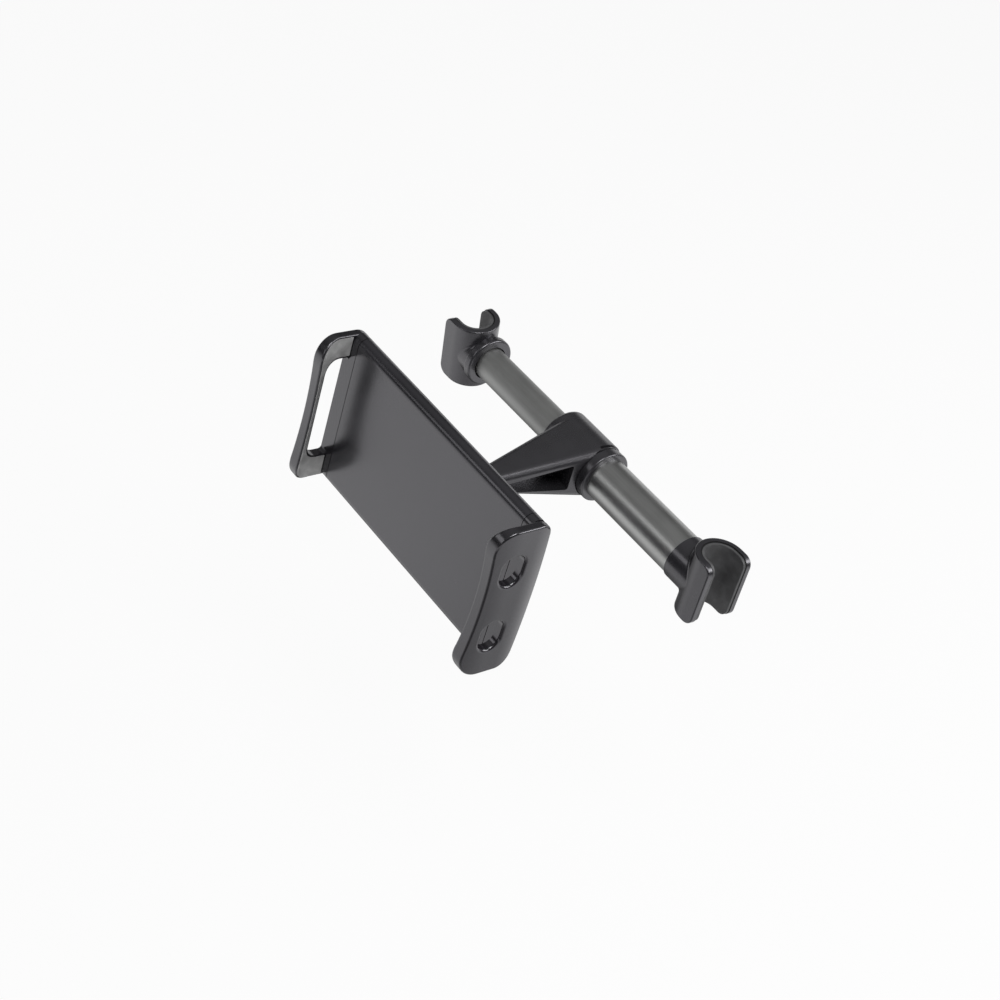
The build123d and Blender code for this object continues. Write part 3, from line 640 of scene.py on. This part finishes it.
class Workshop:
    """Keeps the loaded frame and the materials that were made for it."""

    def __init__(self, frame: Mapping[str, Any]) -> None:
        """Keep the frame's nodes."""
        self.nodes: Mapping[str, bpy.types.Object] = frame["nodes"]
        self.made: dict[str, bpy.types.Material] = {}

    def material(self, finish: Finish) -> bpy.types.Material:
        """Material of a finish, made once.

        Args:
            finish: The finish.

        Returns:
            Its material.
        """
        if finish.name not in self.made:
            self.made[finish.name] = finish.material()
        return self.made[finish.name]

    def dress(self, node: str, finish: Finish) -> None:
        """Give a CAD node its finish.

        Args:
            node: Name of the node.
            finish: What it is made of.
        """
        slots = self.nodes[node].data.materials
        slots.clear()
        slots.append(self.material(finish))
        LOG.info("dressed %s in %s", node, finish.name)


@dataclass
class TelescopicRod:
    """Two tubes that slide in each other, with the bush, piston, plug and ring."""

    outer: str = "outer_tube"
    inner: str = "inner_tube"
    mouldings: tuple[str, ...] = ("guide_bush", "piston", "end_plug")
    ring: str = "collar_ring"
    screw: str = "hook_screw"

    def build(self, shop: Workshop) -> None:
        """Dress every piece of the rod.

        Args:
            shop: Workshop with the nodes and materials.
        """
        shop.dress(self.outer, OUTER_TUBE)
        shop.dress(self.inner, INNER_TUBE)
        for moulding in self.mouldings:
            shop.dress(moulding, NYLON)
        shop.dress(self.ring, BRACKET)
        shop.dress(self.screw, STEEL)


@dataclass
class RodSpring:
    """Coil of round wire in the outer tube, which shortens as the rod is pushed together."""

    node: str = "rod_spring"
    body: str = "rod"
    joint: str = "rod_slide"
    travel: float = 40.0 * MM
    wire: float = 1.2 * MM
    ease: float = 0.05 * MM
    turns: int = 7
    steps: int = 32
    sides: int = 12

    def _ring(self, angle: float, along: float, coil: float) -> list[Vector]:
        """Points round the wire at one place of the coil.

        Args:
            angle: Turn about the rod, in radians.
            along: Place along the rod.
            coil: Radius of the coil at the middle of the wire.

        Returns:
            The points.
        """
        out = Vector((0.0, math.cos(angle), math.sin(angle)))
        middle = out * coil + Vector((along, 0.0, 0.0))
        points = []
        for side in range(self.sides):
            lean = math.tau * side / self.sides
            spoke = out * math.cos(lean) + Vector((math.sin(lean), 0.0, 0.0))
            points.append(middle + spoke * (self.wire / 2))
        return points

    def _mesh(self, low: Vector, high: Vector) -> bpy.types.Mesh:
        """Mesh of the coil.

        Args:
            low: Lowest corner of the spring's box.
            high: Highest corner of the spring's box.

        Returns:
            The mesh, with closed ends.
        """
        inset = self.wire / 2 + self.ease
        start, end = low[0] + inset, high[0] - inset
        coil = (high[2] - low[2]) / 2 - inset
        count = self.turns * self.steps
        points: list[Vector] = []
        for step in range(count + 1):
            along = start + (end - start) * step / count
            points += self._ring(math.tau * step / self.steps, along, coil)
        first_cap = tuple(range(self.sides))
        last_cap = tuple(range(count * self.sides, (count + 1) * self.sides))[::-1]
        faces = [first_cap, last_cap]
        for step in range(count):
            near = step * self.sides
            far = near + self.sides
            for side in range(self.sides):
                after = (side + 1) % self.sides
                faces.append((near + after, near + side, far + side, far + after))
        mesh = bpy.data.meshes.new("rod_coil")
        mesh.from_pydata(points, [], faces)
        for face in mesh.polygons:
            face.use_smooth = len(face.vertices) < self.sides
        return mesh

    def build(self, shop: Workshop) -> None:
        """Wind the coil in place of the plain one and hang it on the rod's body.

        Args:
            shop: Workshop with the nodes and materials.
        """
        low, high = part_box(self.node)
        mesh = self._mesh(low, high)
        mesh.materials.append(shop.material(WIRE))
        coil = bpy.data.objects.new("rod_coil", mesh)
        bpy.context.scene.collection.objects.link(coil)
        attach(coil, self.body)
        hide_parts(self.node)
        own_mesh(coil)
        LOG.info("wound %s", coil.name)


@dataclass
class PostHook:
    """U-shaped cradle for a headrest post, lined with rubber."""

    shell: str
    liner: str
    lining: RubberLiner

    def build(self, shop: Workshop) -> None:
        """Dress the shell and its liner."""
        shop.dress(self.shell, HOOK)
        shop.dress(self.liner, self.lining)


@dataclass
class BracketArm:
    """Tapered arm on the rod with the ball stud at its end."""

    arm: str = "bracket_arm"
    stud: str = "ball_stud"

    def build(self, shop: Workshop) -> None:
        """Dress the arm and the stud."""
        shop.dress(self.arm, BRACKET)
        shop.dress(self.stud, STEEL)


@dataclass
class BallSocket:
    """Liner and lock nut that hold the ball."""

    liner: str = "ball_liner"
    nut: str = "lock_nut"

    def build(self, shop: Workshop) -> None:
        """Dress the liner and the nut."""
        shop.dress(self.liner, NYLON)
        shop.dress(self.nut, HOUSING)


@dataclass
class TabletHolder:
    """Flat housing that the tablet leans on, with the gear and springs inside."""

    shells: tuple[str, ...] = ("front_panel", "back_cover")
    screws: str = "cover_screws"
    gear: str = "pinion"
    springs: tuple[str, ...] = ("right_jaw_spring", "left_jaw_spring")

    def build(self, shop: Workshop) -> None:
        """Dress the housing and what it holds.

        Args:
            shop: Workshop with the nodes and materials.
        """
        for shell in self.shells:
            shop.dress(shell, HOUSING)
        shop.dress(self.screws, STEEL)
        shop.dress(self.gear, NYLON)
        for spring in self.springs:
            shop.dress(spring, WIRE)


class Side(Enum):
    """Side of the holder that a jaw is on, with its sign along X."""

    RIGHT = 1
    LEFT = -1


@dataclass
class ClampJaw:
    """A sliding jaw, with a thin grey lining on its inner wall.

    The lining is drawn in two measures: how far it stands in front of the panel, and its height.
    """

    jaw: str
    body: str
    side: Side
    openings: tuple[float, ...]
    opening_width: float
    opening_height: float
    opening_round: float
    round_back: bool
    half_height: float = 33.65 * MM
    rise: float = 0.2 * MM
    reach: float = 14.8 * MM
    wall: float = 3.7 * MM
    bend: float = 4.9 * MM
    lip_inset: float = 3.8 * MM
    corner: float = 8.5 * MM
    waist: float = 1.4 * MM
    margin: float = 0.85 * MM
    foot: float = 0.3 * MM
    thickness: float = 0.30 * MM
    depth_factor: float = 1.2
    rim: float = 0.08 * MM
    rim_segments: int = 2
    rim_angle: float = math.radians(50.0)
    steps: int = 16

    def _arc(self, centre: Spot, radius: float, start: float, end: float) -> list[Spot]:
        """Points along an arc.

        Args:
            centre: Middle of the arc.
            radius: Its radius.
            start: First angle, in degrees.
            end: Last angle, in degrees.

        Returns:
            The points.
        """
        points = []
        for step in range(self.steps + 1):
            angle = math.radians(start + (end - start) * step / self.steps)
            across, up = radius * math.cos(angle), radius * math.sin(angle)
            points.append((centre[0] + across, centre[1] + up))
        return points

    def _outline(self) -> list[Spot]:
        """Draw the lining once round: up along the lip and down along the panel.

        Returns:
            The points of the outline.
        """
        top = self.half_height - self.margin
        front = self.reach - self.margin
        radius = self.corner - self.margin
        span = top - radius
        loop = [(self.foot, -top)]
        loop += self._arc((front - radius, -span), radius, -QUARTER_TURN, 0.0)
        for step in range(1, self.steps):
            height = span * (2.0 * step / self.steps - 1.0)
            loop.append((front - self.waist * (1.0 - (height / span) ** 2), height))
        loop += self._arc((front - radius, span), radius, 0.0, QUARTER_TURN)
        loop.append((self.foot, top))
        for middle in self.openings:
            loop += self._notch(middle)
        return loop

    def _notch(self, middle: float) -> list[Spot]:
        """Cut-out round one opening, from its top down to its bottom.

        Args:
            middle: Height of the opening's middle.

        Returns:
            The points of the cut-out.
        """
        radius = self.opening_round + self.margin
        centre = self.opening_width - self.opening_round
        half = self.opening_height / 2 - self.opening_round
        turn = QUARTER_TURN
        if self.round_back:
            turn = math.degrees(math.acos((self.foot - centre) / radius))
        upper = self._arc((centre, middle + half), radius, turn, 0.0)
        lower = self._arc((centre, middle - half), radius, 0.0, -turn)
        if self.round_back:
            return upper + lower
        return [(self.foot, upper[0][1])] + upper + lower + [(self.foot, lower[-1][1])]

    def _drop(self, forward: float) -> float:
        """Find how far the wall's inner face has bent inwards.

        Args:
            forward: Distance in front of the panel.

        Returns:
            The bend at that distance.
        """
        past = max(0.0, forward - self.bend)
        run = self.reach - self.bend
        radius = (run ** 2 + self.lip_inset ** 2) / (2.0 * self.lip_inset)
        return radius - math.sqrt(radius ** 2 - past ** 2)

    def _lining_mesh(self) -> bpy.types.Mesh:
        """Make the lining's outer skin, bent along the wall.

        Returns:
            The mesh.
        """
        low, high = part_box(self.jaw)
        sign = self.side.value
        wall_x = max(abs(low[0]), abs(high[0])) - self.wall
        panel_y = low[1] + self.reach
        middle_z = (low[2] + high[2]) / 2 + self.rise
        skin = bmesh.new()
        corners = [skin.verts.new((forward, height, 0.0)) for forward, height in self._outline()]
        skin.faces.new(corners)
        skin.normal_update()
        bmesh.ops.triangulate(skin, faces=skin.faces[:])
        for step in range(1, self.steps):
            forward = self.foot + (self.reach - self.foot) * step / self.steps
            bmesh.ops.bisect_plane(
                skin,
                geom=skin.verts[:] + skin.edges[:] + skin.faces[:],
                plane_co=(forward, 0.0, 0.0),
                plane_no=(1.0, 0.0, 0.0))
        for vert in skin.verts:
            forward, height, _ = vert.co
            x = wall_x - self._drop(forward) - self.thickness
            vert.co = (sign * x, panel_y - forward, middle_z + height)
        inwards = Vector((-sign, 0.0, 0.0))
        skin.normal_update()
        turned = [face for face in skin.faces if face.normal.dot(inwards) < 0.0]
        bmesh.ops.reverse_faces(skin, faces=turned)
        for face in skin.faces:
            face.smooth = True
        mesh = bpy.data.meshes.new(f"{self.jaw}_lining")
        skin.to_mesh(mesh)
        skin.free()
        return mesh

    def line(self, shop: Workshop) -> bpy.types.Object:
        """Make the lining.

        Args:
            shop: Workshop with the nodes and materials.

        Returns:
            The lining, which rides on the jaw's body.
        """
        mesh = self._lining_mesh()
        mesh.materials.append(shop.material(LINING))
        lining = bpy.data.objects.new(f"{self.jaw}_lining", mesh)
        bpy.context.scene.collection.objects.link(lining)
        depth = lining.modifiers.new("depth", "SOLIDIFY")
        depth.thickness = self.thickness * self.depth_factor
        depth.offset = -1.0
        edge = lining.modifiers.new("edge", "BEVEL")
        edge.width = self.rim
        edge.segments = self.rim_segments
        edge.limit_method = "ANGLE"
        edge.angle_limit = self.rim_angle
        smooth = lining.modifiers.new("smooth", "WEIGHTED_NORMAL")
        smooth.keep_sharp = True
        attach(lining, self.body)
        return lining

    def build(self, shop: Workshop) -> None:
        """Dress the jaw and line its wall.

        Args:
            shop: Workshop with the nodes and materials.
        """
        shop.dress(self.jaw, CLAMP)
        lining = self.line(shop)
        LOG.info("lined %s with %s", self.jaw, lining.name)


@dataclass(frozen=True)
class Softbox:
    """A rectangular area light."""

    name: str
    place: Place
    width: float
    height: float
    watts: float
    aim: Place = STAGE_MIDDLE

    def hang(self) -> None:
        """Put the light in the scene."""
        lamp = bpy.data.lights.new(self.name, "AREA")
        lamp.shape = "RECTANGLE"
        lamp.size = self.width
        lamp.size_y = self.height
        lamp.energy = self.watts
        holder = bpy.data.objects.new(self.name, lamp)
        holder.location = self.place
        towards = Vector(self.aim) - Vector(self.place)
        holder.rotation_euler = towards.to_track_quat("-Z", "Y").to_euler()
        holder.visible_camera = False
        bpy.context.scene.collection.objects.link(holder)


@dataclass
class Studio:
    """Floor, sky, lights and camera."""

    floor_level: float = -0.16
    floor_reach: float = 6.0
    sky_low: Tone = (0.05, 0.05, 0.05)
    sky_high: Tone = (0.26, 0.26, 0.26)
    sky_rise: Band = (0.48, 0.86)
    backdrop: Tone = WHITE
    backdrop_way: Place = (-0.69, 0.73, 0.0)
    backdrop_width: Band = (0.35, 0.80)
    backdrop_height: Band = (0.12, 0.36)
    camera_place: Place = (0.41948, -0.47659, 0.42268)
    camera_right: Place = (0.5663, 0.7862, 0.2476)
    camera_up: Place = (-0.6040, 0.1914, 0.7737)
    camera_clip: float = 0.01
    lens: float = 69.53
    sensor: float = 36.0
    boxes: tuple[Softbox, ...] = (
        Softbox("front_left_box", (-0.29, -1.01, 0.53), width=0.90, height=0.36, watts=1.4),
        Softbox("back_right_box", (0.62, 0.65, 0.59), width=0.90, height=0.40, watts=6.0),
        Softbox("top_box", (0.44, -0.20, 0.99), width=0.45, height=0.45, watts=4.5))

    def lay_floor(self, shop: Workshop) -> None:
        """Lay the paper floor under the object.

        Args:
            shop: Workshop with the nodes and materials.
        """
        reach = self.floor_reach
        corners = [(-reach, -reach), (reach, -reach), (reach, reach), (-reach, reach)]
        mesh = bpy.data.meshes.new("studio_floor")
        mesh.from_pydata([(x, y, self.floor_level) for x, y in corners], [], [(0, 1, 2, 3)])
        mesh.materials.append(shop.material(PAPER))
        floor = bpy.data.objects.new("studio_floor", mesh)
        bpy.context.scene.collection.objects.link(floor)

    def paint_sky(self) -> None:
        """Light the shade from a dim sky with a white backdrop; the camera sees it all white."""
        world = bpy.data.worlds.new("studio_sky")
        world.use_nodes = True
        bpy.context.scene.world = world
        graph = Graph(world.node_tree)
        way = graph.node("ShaderNodeTexCoord", {}, {}, "Generated")
        height = graph.node("ShaderNodeSeparateXYZ", {}, {"Vector": way}, "Z")
        sky = graph.blend(height.between(*self.sky_rise), self.sky_low, self.sky_high)
        facing = graph.node(
            "ShaderNodeVectorMath",
            {"operation": "DOT_PRODUCT"},
            {0: way, 1: self.backdrop_way},
            "Value")
        below = 1.0 - height.between(*self.backdrop_height)
        sheet = facing.between(*self.backdrop_width) * below
        tone = graph.blend(sheet, sky, self.backdrop)
        seen = graph.node("ShaderNodeLightPath", {}, {}, Ray.CAMERA.value)
        shown = graph.blend(seen, tone, WHITE)
        light = graph.node("ShaderNodeBackground", {}, {"Color": shown, "Strength": 1.0})
        graph.node("ShaderNodeOutputWorld", {}, {"Surface": light})

    def set_camera(self) -> None:
        """Stand the camera where the photograph was taken from."""
        data = bpy.data.cameras.new("photo_camera")
        data.lens = self.lens
        data.sensor_width = self.sensor
        data.clip_start = self.camera_clip
        camera = bpy.data.objects.new("photo_camera", data)
        right = Vector(self.camera_right).normalized()
        up = Vector(self.camera_up)
        up = (up - right * up.dot(right)).normalized()
        back = right.cross(up)
        turn = Matrix((right, up, back)).transposed().to_4x4()
        camera.matrix_world = Matrix.Translation(Vector(self.camera_place)) @ turn
        bpy.context.scene.collection.objects.link(camera)
        bpy.context.scene.camera = camera

    def build(self, shop: Workshop) -> None:
        """Set up the whole studio.

        Args:
            shop: Workshop with the nodes and materials.
        """
        bpy.context.scene.view_settings.view_transform = "Standard"
        self.lay_floor(shop)
        self.paint_sky()
        for box in self.boxes:
            box.hang()
        self.set_camera()
        LOG.info("studio is set")


def main() -> None:
    """Load the frame, dress every sub-assembly and set up the studio."""
    logging.basicConfig(level=logging.INFO, format="%(name)s: %(message)s")
    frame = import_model()
    shop = Workshop(frame)
    assemblies = (
        TelescopicRod(),
        RodSpring(),
        PostHook("right_hook", "right_pad", RIGHT_LINER),
        PostHook("left_hook", "left_pad", LEFT_LINER),
        BracketArm(),
        BallSocket(),
        TabletHolder(),
        ClampJaw(
            "right_jaw", "right_clamp", Side.RIGHT, openings=(15.2 * MM, -15.2 * MM),
            opening_width=9.2 * MM, opening_height=13.6 * MM, opening_round=4.6 * MM,
            round_back=True),
        ClampJaw(
            "left_jaw", "left_clamp", Side.LEFT, openings=(0.3 * MM,),
            opening_width=10.1 * MM, opening_height=46.4 * MM, opening_round=6.0 * MM,
            round_back=False))
    for assembly in assemblies:
        assembly.build(shop)
    Studio().build(shop)


if __name__ == "__main__":
    main()
